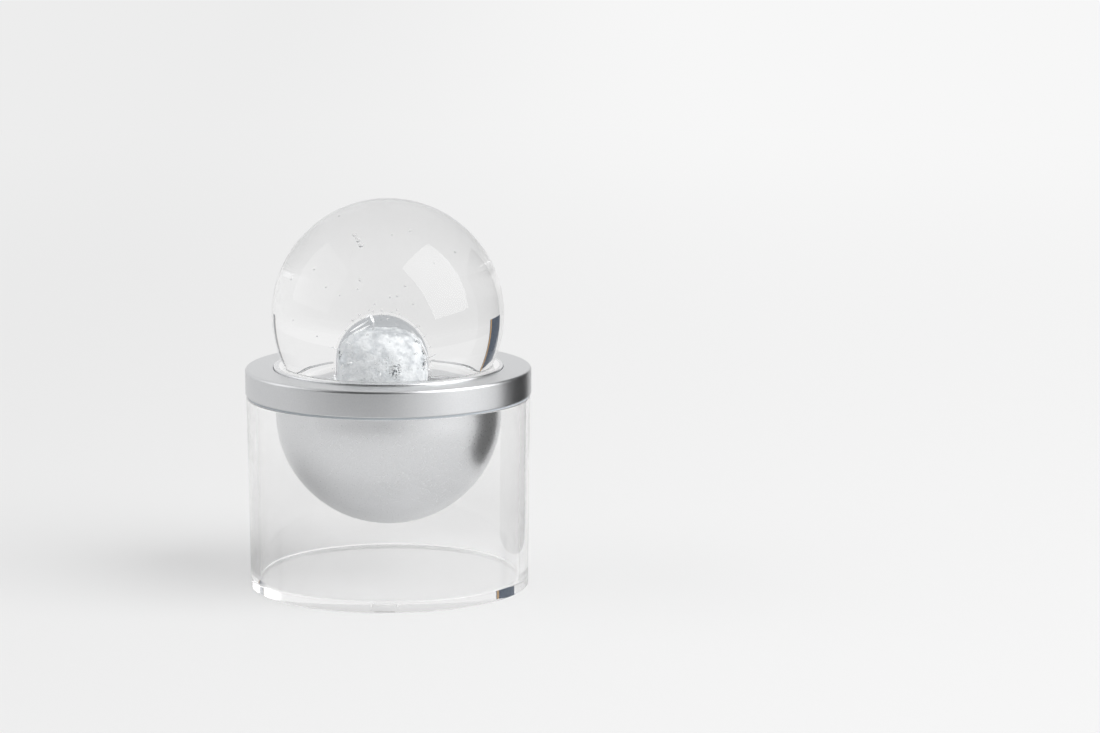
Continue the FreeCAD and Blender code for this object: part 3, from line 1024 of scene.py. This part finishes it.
frost = new_material("cloudy_ice")
frost_place = add_node(frost, "ShaderNodeTexCoord")
cloud = add_node(
    frost,
    "ShaderNodeTexNoise",
    {
        "Vector": frost_place.outputs["Object"],
        "Scale": 1 / (FROST_CLOUD * MM),
        "Detail": 5.0,
        "Roughness": 0.65,
    },
)
speckle = add_node(
    frost,
    "ShaderNodeTexNoise",
    {
        "Vector": frost_place.outputs["Object"],
        "Scale": 1 / (FROST_GRAIN * MM),
        "Detail": 3.0,
        "Roughness": 0.7,
    },
)
cloud_share = add_node(
    frost,
    "ShaderNodeMapRange",
    {"Value": cloud.outputs[0], "From Min": FROST_CLOUD_EDGE[0], "From Max": FROST_CLOUD_EDGE[1]},
)
frost_parts = add_node(frost, "ShaderNodeSeparateXYZ", {0: frost_place.outputs["Object"]})
frost_height = add_node(
    frost,
    "ShaderNodeMapRange",
    {
        "Value": frost_parts.outputs["Z"],
        "From Min": FROST_TOP[0] * MM,
        "From Max": FROST_TOP[1] * MM,
        "To Max": FROST_THINNING,
    },
)
frost_thin = add_node(
    frost, "ShaderNodeMath", {0: cloud.outputs[0], 1: frost_height.outputs[0]}, operation="SUBTRACT"
)
clear_share = add_node(
    frost,
    "ShaderNodeMapRange",
    {
        "Value": frost_thin.outputs[0],
        "From Min": FROST_CLEAR_EDGE[0],
        "From Max": FROST_CLEAR_EDGE[1],
        "To Min": FROST_CLEAR_SHARE[0],
        "To Max": FROST_CLEAR_SHARE[1],
    },
)
specks = add_node(
    frost,
    "ShaderNodeTexNoise",
    {"Vector": frost_place.outputs["Object"], "Scale": 1 / (SPECK_GRAIN * MM), "Detail": 1.0, "Roughness": 0.5},
)
speck_limit = None
for place, reach in SPECK_PATCHES:
    from_patch = add_node(
        frost,
        "ShaderNodeVectorMath",
        {0: frost_place.outputs["Object"], 1: (NUCLEUS_PLACE + Vector(place)) * MM},
        operation="DISTANCE",
    )
    near_patch = add_node(
        frost,
        "ShaderNodeMapRange",
        {
            "Value": from_patch.outputs["Value"],
            "From Min": reach * SPECK_SPREAD[0] * MM,
            "From Max": reach * SPECK_SPREAD[1] * MM,
            "To Min": SPECK_PULL,
            "To Max": 0.0,
        },
    )
    if speck_limit is None:
        speck_limit = near_patch
    else:
        speck_limit = add_node(
            frost, "ShaderNodeMath", {0: speck_limit.outputs[0], 1: near_patch.outputs[0]}, operation="MAXIMUM"
        )
speck_level = add_node(
    frost, "ShaderNodeMath", {0: specks.outputs[0], 1: speck_limit.outputs[0]}, operation="ADD"
)
reflection_speck_share = add_node(
    frost,
    "ShaderNodeMapRange",
    {"Value": speck_level.outputs[0], "From Min": SPECK_EDGE[0], "From Max": SPECK_EDGE[1]},
)
frost_colour = add_node(
    frost,
    "ShaderNodeMix",
    {"Factor": cloud_share.outputs[0], 6: linear(FROST_DULL), 7: linear(FROST)},
    data_type="RGBA",
)
# The dark specks are painted reflections of dark surroundings.
frost_and_speck_colour = add_node(
    frost,
    "ShaderNodeMix",
    {"Factor": reflection_speck_share.outputs[0], 6: frost_colour.outputs[2], 7: linear(DARK_REFLECTION_SPECKS)},
    data_type="RGBA",
)
frost_bump = add_node(
    frost,
    "ShaderNodeBump",
    {"Height": speckle.outputs[0], "Strength": FROST_STRENGTH, "Distance": FROST_RELIEF * MM},
)
frost_body = add_node(
    frost,
    "ShaderNodeBsdfPrincipled",
    {
        "Base Color": frost_and_speck_colour.outputs[2],
        "Roughness": FROST_ROUGHNESS,
        "IOR": FROST_IOR,
        "Transmission Weight": clear_share.outputs[0],
        # The emission is painted light, for light scattered in the frost.
        "Emission Color": frost_and_speck_colour.outputs[2],
        "Emission Strength": FROST_PAINTED_GLOW,
        "Normal": frost_bump.outputs[0],
    },
)
clear_surface(frost, frost_body, FROST_LIGHT)
nucleus.data.materials.append(frost)

skin = core_form("ice_core_skin", NUCLEUS_PLACE, NUCLEUS_RADIUS, NUCLEUS_RADIUS, SKIN_SQUARENESS)
skin_ice = new_material("clear_ice_skin")
skin_body = add_node(
    skin_ice,
    "ShaderNodeBsdfPrincipled",
    {
        # The grey base colour is painted shade.
        "Base Color": linear(SKIN_SHADE),
        "Roughness": SKIN_ROUGHNESS,
        "IOR": SKIN_IOR,
        "Transmission Weight": 1.0,
    },
)
clear_surface(skin_ice, skin_body, FROST_LIGHT)
skin.data.materials.append(skin_ice)
join([skin], nucleus)
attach(nucleus, "ball")
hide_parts("ice_core")
